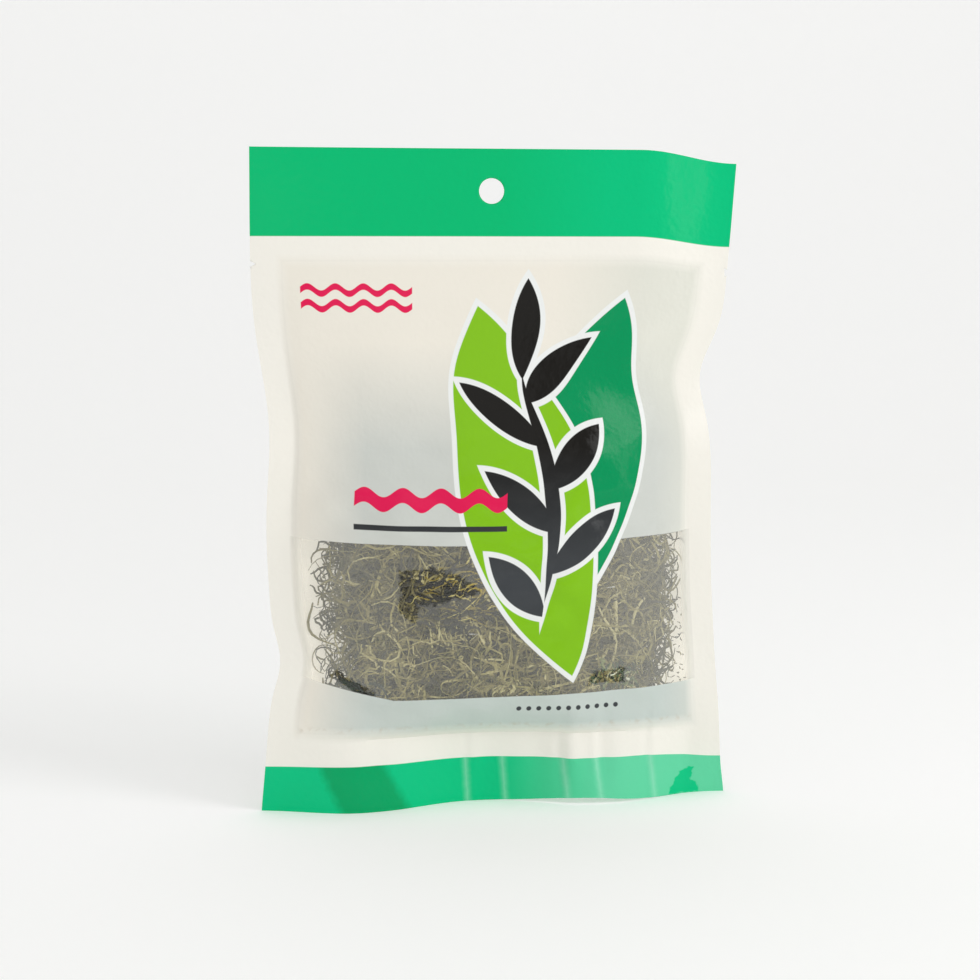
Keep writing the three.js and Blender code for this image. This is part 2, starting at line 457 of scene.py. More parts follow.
def mesh_object(name: str, points: Array, faces: list, uv: Array, smooth_angle: float) -> bpy.types.Object:
    """Makes an object at the origin from points in millimetres.

    Args:
        name: the piece's name.
        points: vertices, one row each.
        faces: one list of vertex numbers each.
        uv: one row of two numbers for each vertex.
        smooth_angle: edges sharper than this many degrees stay sharp.

    Returns:
        The linked object.
    """
    mesh = bpy.data.meshes.new(name)
    mesh.from_pydata((points * MM).tolist(), [], faces)
    corners = np.zeros(len(mesh.loops), dtype=np.int32)
    mesh.loops.foreach_get("vertex_index", corners)
    layer = mesh.uv_layers.new(name="film")
    layer.data.foreach_set("uv", uv[corners].astype(np.float32).ravel())
    mesh.polygons.foreach_set("use_smooth", np.ones(len(mesh.polygons), dtype=bool))
    mesh.set_sharp_from_angle(angle=math.radians(smooth_angle))
    mesh.update()
    made = bpy.data.objects.new(name, mesh)
    bpy.context.scene.collection.objects.link(made)
    return made


def grid_faces(rows: int, columns: int, start: int = 0, flip: bool = False) -> Array:
    """Four-cornered faces of a grid whose points run row by row.

    Args:
        rows: rows of points.
        columns: points in a row.
        start: the first point's number.
        flip: turns the faces over.

    Returns:
        One row of four vertex numbers for each face.
    """
    corner = (np.arange(rows - 1)[:, None] * columns + np.arange(columns - 1)).ravel() + start
    faces = np.stack([corner, corner + 1, corner + columns + 1, corner + columns], axis=1)
    return faces[:, ::-1] if flip else faces


@dataclass
class FilmSheet:
    """One sheet of the pouch's film, with the hang hole and the tear notches. Millimetres.

    A gather is its X, its width and its height. The sizes of waves are a shortest and a longest length, and
    a pair named at is a middle and a width, or the pinch's X and height.
    """

    form: PouchForm
    side: Side
    columns: int = 181
    rows: int = 201
    crowding: float = 0.35
    smooth_angle: float = 50.0
    thickness: float = 0.14
    weld_gap: float = 0.04
    hole_x: float = -2.6
    hole_radius: float = 4.0
    hole_from_top: float = 13.2
    hole_sides: int = 64
    notch_from_top: float = 36.0
    notch_radius: float = 1.6
    notch_sides: int = 3
    punch_angle: float = 30.0
    edge_from: float = 0.8
    edge_height: float = 0.35
    edge_apart: float = 40.0
    edge_waves: int = 6
    edge_sizes: tuple = (14.0, 40.0)
    lump_height: float = 0.55
    lump_waves: int = 14
    lump_sizes: tuple = (9.0, 24.0)
    lumps_at: tuple = (70.0, 45.0)
    slack_height: float = 0.5
    slack_waves: int = 7
    slack_sizes: tuple = (30.0, 70.0)
    loose_room: tuple = (0.6, 7.0)
    gathers: tuple = (
        (-40.0, 5.0, 0.7), (-9.0, 4.0, -0.8), (13.0, 5.0, 0.9), (23.0, 3.0, -1.1), (33.0, 3.5, 1.1),
        (50.0, 4.5, -0.9), (63.0, 4.0, 0.8), (19.5, 1.6, 0.6), (30.5, 1.5, -0.5), (48.3, 1.6, 0.6),
        (-10.6, 1.6, 0.5),
    )
    gather_at: float = 16.0
    gather_reach: float = 15.0
    pinch_at: tuple = (52.0, 137.0)
    pinch_size: tuple = (9.0, 26.0)
    pinch_depth: float = 2.2
    pinch_lean: float = 0.25
    fold_depth: float = 1.4
    fold_width: float = 0.45
    foot_lift: float = 2.0
    lift_at: tuple = (27.0, 17.0)
    lift_fade: float = 8.0
    rim_tilt: float = 0.02
    window_rows: tuple = (28.0, 96.0)
    seed: int = 41

    def welded_waves(self, x: Array, b: Array, u: Array) -> Array:
        """Y that both sheets share: upright gathers over the foot, and ripples of the narrow side seals.

        Args:
            x: X of each point.
            b: heights on the flat film.
            u: places across.

        Returns:
            What the welded film adds to Y.
        """
        fade = hump(b, self.gather_at, self.gather_reach)
        foot = sum(height * hump(x, middle, width) for middle, width, height in self.gathers) * fade
        rng = np.random.default_rng(self.seed)
        edge = smoothstep(np.abs(u), self.edge_from, 1.0)
        waves = ripples(np.sign(u) * self.edge_apart, b, rng, self.edge_waves, *self.edge_sizes)
        return foot + self.edge_height * edge * waves

    def own_waves(self, x: Array, b: Array, room: Array) -> Array:
        """How far this sheet stands out from its pillow.

        It is the sum of soft lumps where shreds press on it, slack waves, and a pinched fold near the right
        edge: a hump with a narrower dip beside it.

        Args:
            x: X of each point.
            b: heights on the flat film.
            room: half the room between the sheets.

        Returns:
            The distance outwards, none where the sheets meet.
        """
        rng = np.random.default_rng(self.seed + self.side.value)
        loose = smoothstep(room, *self.loose_room)
        lumps = self.lump_height * ripples(x, b, rng, self.lump_waves, *self.lump_sizes)
        slack = self.slack_height * ripples(x, b, rng, self.slack_waves, *self.slack_sizes)
        across, up = self.pinch_at
        wide, tall = self.pinch_size
        lean = (x - across) + self.pinch_lean * (b - up)
        fold = hump(lean, 0.0, wide) - self.fold_depth * hump(lean, wide, self.fold_width * wide)
        pinch = self.pinch_depth * hump(b, up, tall) * fold
        return loose * (lumps * hump(b, *self.lumps_at) + slack + pinch)

    def depth(self, u: Array, b: Array) -> Array:
        """How far the sheet's inner face stands from the middle plane."""
        room = self.form.half_room(u, b)
        return np.maximum(room + self.own_waves(self.form.x_at(u, b), b, room), 0.0)

    def face(self, u: Array, b: Array, outwards: float) -> Array:
        """Points of one face: the pillow's formula, with the waves added along Y.

        Args:
            u: places across, as a grid.
            b: heights on the flat film, as a grid.
            outwards: distance from the sheet's inner face.

        Returns:
            One row of X, Y and Z for each grid point.
        """
        x = self.form.x_at(u, b)
        depth = self.depth(u, b) + self.weld_gap / 2.0 + outwards
        y = self.form.middle_y(u, b) + self.welded_waves(x, b, u) + self.side.value * depth
        lift = self.foot_lift * hump(x, *self.lift_at) * hump(b, 0.0, self.lift_fade)
        z = b - self.form.sag(u, b) + lift
        return np.stack([x, y, z], axis=-1).reshape(-1, 3)

    def build(self) -> bpy.types.Object:
        """Makes the closed sheet: two faces of a grid, a rim between them, and the punched holes.

        Returns:
            The sheet's object.
        """
        even = np.linspace(-1.0, 1.0, self.columns)
        crowded = lerp(even, np.sin(even * math.pi / 2.0), self.crowding)
        u, b = np.meshgrid(crowded, np.linspace(0.0, self.form.height, self.rows))
        points = np.concatenate([self.face(u, b, 0.0), self.face(u, b, self.thickness)])
        size = self.rows * self.columns
        front = self.side is Side.FRONT
        inner = grid_faces(self.rows, self.columns, 0, flip=front)
        outer = grid_faces(self.rows, self.columns, size, flip=not front)
        numbers = np.arange(size).reshape(self.rows, self.columns)
        loop = np.concatenate([numbers[0, :-1], numbers[:-1, -1], numbers[-1, :0:-1], numbers[:0:-1, 0]])
        after = np.roll(loop, -1)
        rim = np.stack([loop, after, after + size, loop + size], axis=1)
        rim = rim if front else rim[:, ::-1]
        flat = np.stack([u * self.form.half_width, b], axis=-1).reshape(-1, 2) / FLAT_UNIT
        uv = np.tile(flat, (2, 1))
        faces = np.concatenate([inner, outer, rim]).tolist()
        made = mesh_object(f"film_{self.side.name.lower()}", points, faces, uv, self.smooth_angle)
        self.punch(made)
        return made

    def punch(self, sheet: bpy.types.Object) -> None:
        """Cuts the hang hole and the two tear notches through the sheet, along Y.

        Args:
            sheet: the closed sheet.
        """
        at = self.form.height - self.hole_from_top
        cuts = [prism(self.hole_x, at, self.hole_radius, self.hole_sides)]
        at = self.form.height - self.notch_from_top
        for edge in (-1.0, 1.0):
            drop = float(self.form.sag(np.array(edge), np.array(at)))
            cuts.append(prism(self.form.x_at(edge, at), at - drop, self.notch_radius, self.notch_sides))
        points = np.concatenate([c[0] for c in cuts])
        faces = []
        start = 0
        for corners, sides in cuts:
            faces += [[v + start for v in f] for f in sides]
            start += len(corners)
        tool = mesh_object("punch", points, faces, np.zeros((len(points), 2)), self.punch_angle)
        cut = sheet.modifiers.new("punch", "BOOLEAN")
        cut.operation = "DIFFERENCE"
        cut.solver = "MANIFOLD"
        cut.object = tool
        shown = sheet.evaluated_get(bpy.context.evaluated_depsgraph_get())
        punched = bpy.data.meshes.new_from_object(shown)
        punched.materials.clear()
        sheet.modifiers.clear()
        sheet.data = punched
        bpy.data.objects.remove(tool)

    def dress(self, sheet: bpy.types.Object, finishes: list) -> None:
        """Puts the ink on the outer face and the rim, and the lining on the face towards the other sheet.

        Args:
            sheet: the built sheet.
            finishes: the ink and the lining, and then the pair of the rows with the window, if it has one.
        """
        for finish in finishes:
            sheet.data.materials.append(finish)
        normals, middles = np.zeros((2, len(sheet.data.polygons) * 3))
        sheet.data.polygons.foreach_get("normal", normals)
        sheet.data.polygons.foreach_get("center", middles)
        inwards = normals.reshape(-1, 3)[:, 1] * self.side.value < -self.rim_tilt
        low, high = self.window_rows
        rows = middles.reshape(-1, 3)[:, 2] / MM
        pane = (rows > low) & (rows < high) & (len(finishes) > 2)
        sheet.data.polygons.foreach_set("material_index", (inwards + 2 * pane).astype(np.int32))


def prism(x: float, z: float, radius: float, sides: int, depth: float = 30.0) -> tuple[Array, list]:
    """A closed prism along Y: a ring of points on a circle, carried from the front to the back.

    Args:
        x: X of its axis.
        z: Z of its axis.
        radius: from the axis to a corner.
        sides: how many sides.
        depth: half its length.

    Returns:
        Its points and its outward faces.
    """
    turn = TURN * np.arange(sides) / sides
    ring = np.stack([x + radius * np.cos(turn), np.full(sides, -depth), z + radius * np.sin(turn)], axis=1)
    points = np.concatenate([ring, ring + np.array([0.0, 2.0 * depth, 0.0])])
    side = [[i, i + sides, (i + 1) % sides + sides, (i + 1) % sides] for i in range(sides)]
    return points, [list(range(sides)), list(range(2 * sides - 1, sides - 1, -1))] + side


# The printed film


@dataclass(frozen=True)
class Leaf:
    """A pointed leaf of the print: its middle, half-length, half-width and lean, in mm and degrees."""

    x: float
    b: float
    half_length: float
    half_width: float
    lean: float


@dataclass(frozen=True)
class WaveRule:
    """A wavy printed line: its middle, length, stroke, wave height and wavelength, in mm."""

    x: float
    b: float
    length: float
    stroke: float
    height: float
    wavelength: float


@dataclass(frozen=True)
class FilmFinish:
    """Colours, gloss and the clear window's opacities of the printed film.

    Each share says how much of a tone is mixed in.
    """

    zone: Zone
    white: Colour = linear(237, 232, 220)
    # Painted light: the seals are painted brighter than the white field.
    lit_seal_white: Colour = linear(242, 239, 230)
    # Painted shade: the contents behind the film, seen through it as grey.
    contents_shade: Colour = linear(205, 208, 202)
    shaded_white: Colour = linear(223, 223, 212)
    green: Colour = linear(0, 186, 114)
    lit_green: Colour = linear(0, 212, 152)
    band_green: Colour = linear(0, 196, 132)
    # Painted sheen: the paler green at the right of the foot.
    sheen_green: Colour = linear(112, 216, 172)
    # Painted highlights along the creases of the foot.
    crease_highlight_green: Colour = linear(170, 232, 204)
    shade_green: Colour = linear(0, 164, 100)
    deep_green: Colour = linear(0, 146, 88)
    lime: Colour = linear(131, 192, 26)
    charcoal: Colour = linear(24, 22, 19)
    red: Colour = linear(226, 28, 84)
    # Painted shade: the contents seen through the strip below the window.
    strip_shade: Colour = linear(199, 208, 203)
    key_white: Colour = linear(236, 238, 236)
    # Grey ink of the back's rules, and a painted floor reflection on the lower part of the front's
    # charcoal.
    grey_print_and_reflection: Colour = linear(66, 69, 72)
    # Painted shade in the crease along the seals' inner edge.
    seal_crease_shade: Colour = linear(200, 198, 190)
    dust: Colour = linear(176, 160, 132)
    haze: Colour = linear(230, 230, 222)
    haze_opacity: float = 0.14
    side_haze: float = 0.12
    contact_opacity: float = 0.012
    # Shares of the painted light at the right of the header and of the painted sheen at the right of the
    # foot.
    header_share: float = 0.25
    foot_share: float = 0.78
    # Share of the strip's painted shade at its left end.
    strip_share: float = 0.5
    dust_share: float = 0.6
    # Share of the painted crease shade along the seals.
    seal_share: float = 0.1
    roughness: float = 0.15
    roughness_spread: float = 0.1
    grain_scale: float = 0.45
    grain_strength: float = 0.25
    grain_depth: float = 0.0003
    ior: float = 1.49
    specular: float = 0.14
    edge: float = 0.22


@dataclass(frozen=True)
class PrintLayout:
    """Places of the print on the flat film, in mm. A patch is its corners, clockwise, as x and b."""

    header_from: float = 182.6
    band_to: float = 14.8
    band_soft: float = 1.0
    window_from: float = 39.0
    window_to: float = 88.6
    sill_level_x: float = 60.0
    sill_tilt: float = 0.0135
    sill_turn: float = -38.0
    sill_climb: float = 0.2
    back_leaf: Leaf = Leaf(x=31.0, b=113.0, half_length=52.0, half_width=19.0, lean=14.0)
    fore_leaf: Leaf = Leaf(x=9.0, b=103.0, half_length=60.0, half_width=22.0, lean=-14.0)
    keyline: float = 1.7
    stem_x: float = 15.0
    stem_from: float = 70.0
    stem_to: float = 141.0
    stem_half: float = 2.6
    stem_sway: float = 4.0
    stem_wave: float = 96.0
    blade_from: float = 62.0
    blade_pitch: float = 26.5
    blade_rows: int = 3
    blade_lean: float = 50.0
    blade_half_length: float = 15.4
    blade_half_width: float = 4.8
    blade_reach: float = 0.9
    top_reach: float = 0.86
    red_wave: WaveRule = WaveRule(
        x=-23.5, b=102.5, length=52.0, stroke=4.6, height=1.5, wavelength=13.0,
    )
    dark_wave: WaveRule = WaveRule(
        x=-23.5, b=93.8, length=52.0, stroke=1.7, height=0.0, wavelength=13.0,
    )
    small_waves: tuple = tuple(
        WaveRule(x=-45.0, b=b, length=36.0, stroke=2.0, height=1.1, wavelength=9.0) for b in (166.0, 161.2)
    )
    dots_x: float = 23.0
    dots_b: float = 33.6
    dots_span: float = 37.4
    dots_pitch: float = 3.4
    dot_radius: float = 0.85
    contacts: tuple = (
        ((-34.7, 80.6), (-21.3, 81.7), (-14.9, 79.2), (-6.6, 74.7), (-9.5, 73.2), (-27.3, 68.9),
         (-34.2, 72.0)),
        ((-34.2, 74.3), (-28.3, 70.2), (-29.8, 63.5), (-31.2, 63.7), (-35.7, 67.5)),
        ((31.0, 46.0), (43.0, 46.5), (43.0, 41.5), (30.0, 41.5)),
        ((-61.0, 45.0), (-58.5, 47.0), (-44.0, 39.5), (-46.0, 37.5)),
    )
    contact_ragged: float = 1.3
    contact_soft: float = 0.8
    shade_patches: tuple = (((-61.5, 16.0), (-40.0, 16.0), (-29.5, -1.0), (-52.5, -1.0)),)
    shade_soft: float = 3.2
    plain_patches: tuple = (
        ((58.2, 0.2), (63.7, 8.4), (67.2, 10.4), (68.6, 10.2), (66.0, 0.2)),
        ((65.5, 0.2), (66.0, 4.6), (69.2, 4.0), (69.8, 0.2)),
    )
    plain_soft: float = 0.5
    patch_ragged: float = 0.7
    # The foot's creases, along which painted highlights run.
    creases: tuple = (-9.4, 3.2, 23.0, 34.1, 53.5)
    crease_half: float = 0.1
    crease_soft: float = 4.4
    crease_strength: float = 1.5
    crease_ragged: float = 0.5
    crease_lean: float = 0.07
    # Where the bands' painted light and sheen begin, and how far they grow.
    lit_from: float = 2.0
    lit_over: float = 34.0
    # The pocket where the contents' shade is painted on the white field.
    pocket_x: float = 5.0
    pocket_half: float = 61.0
    pocket_top: float = 134.0
    pocket_soft: float = 20.0
    pocket_rise: float = 32.0
    haze_x: float = -8.0
    haze_from: float = 20.0
    haze_over: float = 45.0
    strip_from: float = -64.0
    strip_over: float = 50.0
    strip_overlap: float = 1.0
    shaded_from: float = 20.0
    shaded_over: float = 30.0
    seal_half: float = 68.6
    seal_soft: float = 4.5
    seal_low: float = 25.8
    seal_high: float = 175.0
    seal_line_half: float = 0.2
    seal_line_soft: float = 0.6
    dust_b: float = 26.8
    dust_half: float = 0.6
    dust_soft: float = 2.0
    dust_contrast: float = 3.0
    # Where the painted floor reflection on the charcoal begins, and how far down it grows.
    reflection_from: float = 118.0
    reflection_over: float = 40.0
    back_leaves: tuple = tuple(
        Leaf(x=side * 9.0, b=143.0, half_length=21.0, half_width=7.5, lean=side * 26.0) for side in (-1, 1)
    )
    rules_b: float = 78.0
    rules_pitch: float = 9.0
    rules_tall: float = 63.0
    rules_half: float = 44.0
    rule_stroke: float = 1.1


class FilmInk:
    """Draws the print as signed distances on the flat film and mixes its colours and opacities."""

    def __init__(self, finish: FilmFinish, layout: PrintLayout) -> None:
        """Starts the material.

        Args:
            finish: colours, opacities and gloss.
            layout: places of the print.
        """
        self.finish = finish
        self.layout = layout
        self.board = Board(finish.zone.value)
        scale = {"Vector": self.board.sheet_place(), "Scale": FLAT_UNIT}
        self.place = self.board.node("ShaderNodeVectorMath", {"operation": "SCALE"}, scale)
        self.x, self.b, _ = self.board.split(self.place)
        self.grain = self.board.noise(self.place, finish.grain_scale, detail=1.0, flat=True)

    def turned(self, x: float, b: float, lean: float) -> tuple[Wire, Wire]:
        """Coordinates that lean.

        Args:
            x: first coordinate of their middle.
            b: second coordinate of their middle.
            lean: how far the second axis leans to the right, in degrees.

        Returns:
            The coordinates across and along the leaning axis.
        """
        turn = (0.0, 0.0, -math.radians(lean))
        sockets = {"Vector": self.place, "Location": (x, b, 0.0), "Rotation": turn}
        local = self.board.node("ShaderNodeMapping", {"vector_type": "TEXTURE"}, sockets)
        across, along, _ = self.board.split(local)
        return across, along

    def arcs(self, across: Wire, along: Wire, half_length: float, half_width: float) -> Wire:
        """Distance to a leaf that stands upright at the middle: two arcs that meet at its tips.

        Args:
            across: the first coordinate from the leaf's middle.
            along: the second coordinate from the leaf's middle.
            half_length: from the middle to a tip.
            half_width: from the middle to an arc.

        Returns:
            The signed distance, below 0 inside.
        """
        radius = (half_length**2 + half_width**2) / (2.0 * half_width)
        reach = abs(across) + (radius - half_width)
        return self.board.maths("SQRT", reach * reach + along * along) - radius

    def leaf(self, leaf: Leaf) -> Wire:
        """Distance to a leaning leaf."""
        across, along = self.turned(leaf.x, leaf.b, leaf.lean)
        return self.arcs(across, along, leaf.half_length, leaf.half_width)

    def wave(self, rule: WaveRule) -> Wire:
        """Distance to a wavy line: the height above the sine, cut off at both ends.

        Args:
            rule: the line.

        Returns:
            The signed distance, below 0 inside.
        """
        across = self.x - rule.x
        crest = (across * (TURN / rule.wavelength)).sine() * rule.height
        return (abs(self.b - rule.b - crest) - rule.stroke / 2.0).most(abs(across) - rule.length / 2.0)

    def frond(self) -> Wire:
        """Distance to a frond: a swaying stem, and one blade repeated up it on both sides by turns.

        Returns:
            The signed distance, below 0 inside.
        """
        lay, board = self.layout, self.board
        sway = ((self.b - lay.stem_from) * (TURN / lay.stem_wave)).sine() * lay.stem_sway
        off = self.x - lay.stem_x - sway
        half = (lay.stem_to - lay.stem_from) / 2.0
        shape = self.arcs(off, self.b - lay.stem_from - half, half, lay.stem_half)
        to_right = board.maths("GREATER_THAN", off, 0.0)
        rise = self.b - lay.blade_from - to_right * (lay.blade_pitch / 2.0)
        cell = board.maths("FLOORED_MODULO", rise, lay.blade_pitch) - lay.blade_pitch / 2.0
        turn = math.radians(lay.blade_lean)
        out = abs(off) - lay.blade_reach * lay.blade_half_length * math.sin(turn)
        across = out * math.cos(turn) - cell * math.sin(turn)
        along = out * math.sin(turn) + cell * math.cos(turn)
        blade = self.arcs(across, along, lay.blade_half_length, lay.blade_half_width)
        half = lay.blade_rows * lay.blade_pitch / 2.0
        blades = blade.most(abs(rise - half) - half)
        top_b = lay.stem_to + lay.top_reach * lay.blade_half_length
        top_turn = TURN * (lay.stem_to - lay.stem_from) / lay.stem_wave
        top_x = lay.stem_x + lay.stem_sway * math.sin(top_turn)
        top = self.leaf(Leaf(top_x, top_b, lay.blade_half_length, lay.blade_half_width, 0.0))
        return shape.least(blades).least(top)

    def dots(self) -> Wire:
        """Distance to a row of dots: one dot, repeated by folding the coordinate across.

        Returns:
            The signed distance, below 0 inside.
        """
        lay = self.layout
        across = self.x - lay.dots_x
        cell = self.board.maths("PINGPONG", across, lay.dots_pitch / 2.0)
        up = self.b - lay.dots_b
        dot = self.board.maths("SQRT", cell * cell + up * up) - lay.dot_radius
        return dot.most(abs(across) - lay.dots_span / 2.0)

    def sides(self, corners: tuple) -> list[Wire]:
        """Distances to the lines through a patch's sides.

        Args:
            corners: the patch's corners, clockwise.

        Returns:
            One signed distance for each side, below 0 where the patch lies.
        """
        found = []
        for (x, b), (next_x, next_b) in zip(corners, corners[1:] + corners[:1]):
            length = math.hypot(next_x - x, next_b - b)
            out_x, out_b = (b - next_b) / length, (next_x - x) / length
            found.append(self.x * out_x + self.b * out_b - (x * out_x + b * out_b))
        return found

    def patches(self, outlines: tuple, raggedness: float, soft: float) -> Wire:
        """Share covered by ragged patches: each is the inside of all its sides, with noise on its distance.

        Args:
            outlines: corners of each patch, clockwise.
            raggedness: how far the noise moves an edge, in mm.
            soft: width of the edge, in mm.

        Returns:
            1 inside the patches and 0 outside.
        """
        ragged = (self.grain - NOISE_MIDDLE) * (2.0 * raggedness)
        distances = [reduce(Wire.most, self.sides(corners)) for corners in outlines]
        return (reduce(Wire.least, distances) + ragged).inside(soft)

    def band_green(self) -> Wire:
        """Green of the header and the foot: painted light and sheen that make both paler to the right,
        painted highlights along the foot's creases, and painted shade in patches low down.

        Returns:
            The colour of both bands.
        """
        ink, lay, board = self.finish, self.layout, self.board
        low = (self.b - 2.0 * lay.band_to).inside(lay.band_soft)
        # Painted light: the header is painted lighter to the right, and the foot gets a painted sheen
        # there.
        pale = (self.x - lay.lit_from).ramp(lay.lit_over)
        header = board.mix(pale * ink.header_share, ink.green, ink.lit_green)
        foot = board.mix(pale * ink.foot_share, ink.band_green, ink.sheen_green)
        green = board.mix(low, header, foot)
        shade = self.patches(lay.shade_patches, lay.patch_ragged, lay.shade_soft)
        green = board.mix(shade, green, ink.shade_green)
        plain = self.patches(lay.plain_patches, lay.patch_ragged, lay.plain_soft)
        # Painted highlights: pale streaks along the foot's creases.
        leaning = self.x + self.b * lay.crease_lean + self.grain * lay.crease_ragged
        nearest = reduce(Wire.least, [abs(leaning - at) for at in lay.creases])
        crease = (nearest - lay.crease_half).inside(lay.crease_soft)
        green = board.mix(crease * crease * low * lay.crease_strength, green, ink.crease_highlight_green)
        return board.mix(plain, green, ink.band_green)

    def sill(self) -> Wire:
        """Height of the window's lower edge: a slight tilt, and a climb at the left.

        Returns:
            The height on the flat film.
        """
        lay = self.layout
        climb = (lay.sill_turn - self.x).most(0.0) * lay.sill_climb
        return climb + (self.x - lay.sill_level_x) * lay.sill_tilt + lay.window_from

    def white_field(self, seal: Wire) -> Wire:
        """White of the film: painted shade, greyer over the contents and darker to the right, and painted
        light on the seals.

        Args:
            seal: distance to the unsealed middle, below 0 inside.

        Returns:
            The colour under the print.
        """
        ink, lay, board = self.finish, self.layout, self.board
        shaded = (self.x - lay.shaded_from).ramp(lay.shaded_over)
        colour = board.mix(shaded, ink.white, ink.shaded_white)
        # Painted shade of the contents behind the film, over the pocket between the seals.
        across = (abs(self.x - lay.pocket_x) - lay.pocket_half).inside(lay.pocket_soft)
        pocket = across * (self.b - lay.pocket_top).inside(lay.pocket_rise)
        colour = board.mix(pocket, colour, ink.contents_shade)
        if ink.zone is not Zone.BACK:
            # Painted shade of the contents behind the strip below the window, stronger to the right.
            strip = (self.b - self.sill() - lay.strip_overlap).inside(ink.edge)
            thick = (self.x - lay.strip_from).ramp(lay.strip_over)
            strip = strip * across * (thick * (1.0 - ink.strip_share) + ink.strip_share)
            colour = board.mix(strip, colour, ink.strip_shade)
            line = (abs(self.b - lay.dust_b) - lay.dust_half).most(abs(self.x) - lay.seal_half)
            specks = (self.grain - NOISE_MIDDLE).ramp(1.0 / lay.dust_contrast)
            colour = board.mix(line.inside(lay.dust_soft) * specks * ink.dust_share, colour, ink.dust)
        # Painted light on the seals.
        return board.mix((0.0 - seal).inside(lay.seal_soft), colour, ink.lit_seal_white)

    def dress(self) -> bpy.types.Material:
        """Puts the print together, from the white field up to the frond.

        Returns:
            The film's material.
        """
        ink, lay, board = self.finish, self.layout, self.board
        seal = (abs(self.x) - lay.seal_half).most(self.b - lay.seal_high).most(lay.seal_low - self.b)
        colour = self.white_field(seal)
        opacity: Value = 1.0
        if ink.zone is Zone.WINDOW:
            pane = (self.sill() - self.b).most(self.b - lay.window_to)
            clear = pane.inside(ink.edge) * seal.inside(lay.seal_soft)
            colour, covered = self.artwork(board.mix(clear, colour, ink.haze))
            contact = self.patches(lay.contacts, lay.contact_ragged, lay.contact_soft)
            aside = (abs(self.x - lay.haze_x) - lay.haze_from) / lay.haze_over
            haze = aside.most(0.0) * ink.side_haze + ink.haze_opacity
            film = haze + contact * (ink.contact_opacity - haze)
            opacity = 1.0 - clear * (1.0 - covered) * (1.0 - film)
        elif ink.zone is Zone.FRONT:
            colour, _ = self.artwork(colour)
        else:
            colour = self.back_print(colour)
        # Painted shade: a faint grey line in the crease along the seals' inner edge.
        seal_line = (abs(seal) - lay.seal_line_half).inside(lay.seal_line_soft)
        colour = board.mix(seal_line * ink.seal_share, colour, ink.seal_crease_shade)
        band = (lay.header_from - self.b).least(self.b - lay.band_to).inside(ink.edge)
        colour = board.mix(band, colour, ink.green if ink.zone is Zone.BACK else self.band_green())
        board.feed(board.shader, {
            "Base Color": colour,
            "Alpha": opacity,
            "Roughness": (self.grain - NOISE_MIDDLE) * ink.roughness_spread + ink.roughness,
            "IOR": ink.ior,
            "Specular IOR Level": ink.specular,
            "Normal": board.bump(self.grain, ink.grain_strength, ink.grain_depth),
        })
        return board.material

    def artwork(self, colour: Wire) -> tuple[Wire, Wire]:
        """Adds the leaves, the frond, the waves and the dots.

        Args:
            colour: what is under them.

        Returns:
            The colour with them on top, and the share covered by the leaves and the frond.
        """
        ink, lay, board = self.finish, self.layout, self.board
        back_leaf = self.leaf(lay.back_leaf)
        fore_leaf = self.leaf(lay.fore_leaf)
        frond = self.frond()
        red = reduce(Wire.least, [self.wave(rule) for rule in (lay.red_wave, *lay.small_waves)])
        dark = self.wave(lay.dark_wave).least(self.dots())
        # Painted reflection of the floor: the charcoal greys towards the bottom.
        floor_reflection = (lay.reflection_from - self.b).ramp(lay.reflection_over)
        charcoal = board.mix(floor_reflection, ink.charcoal, ink.grey_print_and_reflection)
        layers = [
            (back_leaf - lay.keyline, ink.key_white),
            (back_leaf, ink.deep_green),
            (fore_leaf - lay.keyline, ink.key_white),
            (fore_leaf, ink.lime),
            (frond - lay.keyline, ink.key_white),
            (frond, charcoal),
            (red, ink.red),
            (dark, charcoal),
        ]
        for distance, tone in layers:
            colour = board.mix(distance.inside(ink.edge), colour, tone)
        return colour, (back_leaf.least(fore_leaf).least(frond) - lay.keyline).inside(ink.edge)

    def back_print(self, colour: Wire) -> Wire:
        """Adds two small leaves over a stack of plain rules.

        Args:
            colour: what is under them.

        Returns:
            The colour with them on top.
        """
        ink, lay, board = self.finish, self.layout, self.board
        rise = self.b - lay.rules_b
        line = board.maths("PINGPONG", rise, lay.rules_pitch / 2.0) - lay.rule_stroke / 2.0
        stack = line.most(abs(self.x) - lay.rules_half).most(abs(rise) - lay.rules_tall / 2.0)
        colour = board.mix(stack.inside(ink.edge), colour, ink.grey_print_and_reflection)
        for leaf, tone in zip(lay.back_leaves, (ink.lime, ink.deep_green)):
            colour = board.mix(self.leaf(leaf).inside(ink.edge), colour, tone)
        return colour


@dataclass(frozen=True)
class LiningFinish:
    """The bare inner face of a sheet. The pocket that may glow is in the UV map's unit, FLAT_UNIT mm."""

    name: str = "film_lining"
    colour: Colour = linear(240, 240, 236)
    opacity: float = 0.03
    roughness: float = 0.2
    glow: float = 0.0
    pocket_half: float = 0.7
    pocket_low: float = 0.25
    pocket_soft: float = 0.05

    def dress(self) -> bpy.types.Material:
        """Makes a plain material, and lets it glow inside the seals where it has a glow.

        Returns:
            The lining's material.
        """
        board = Board(self.name)
        sockets = {"Base Color": (*self.colour, 1.0), "Alpha": self.opacity, "Roughness": self.roughness}
        if self.glow:
            x, b, _ = board.split(board.sheet_place())
            pocket = (abs(x) - self.pocket_half).most(self.pocket_low - b).inside(self.pocket_soft)
            sockets["Emission Color"] = board.mix(pocket, BLACK, self.colour)
            sockets["Emission Strength"] = self.glow
        board.feed(board.shader, sockets)
        return board.material


# Light that comes through the white back stands on its inner face as a faint glow inside the seals.
WHITE_LINING = LiningFinish(
    name="white_lining",
    colour=linear(247, 242, 230),
    opacity=1.0,
    roughness=0.4,
    glow=0.51,
)
PLAIN_LINING = LiningFinish("plain_lining", opacity=1.0)


# The shreds


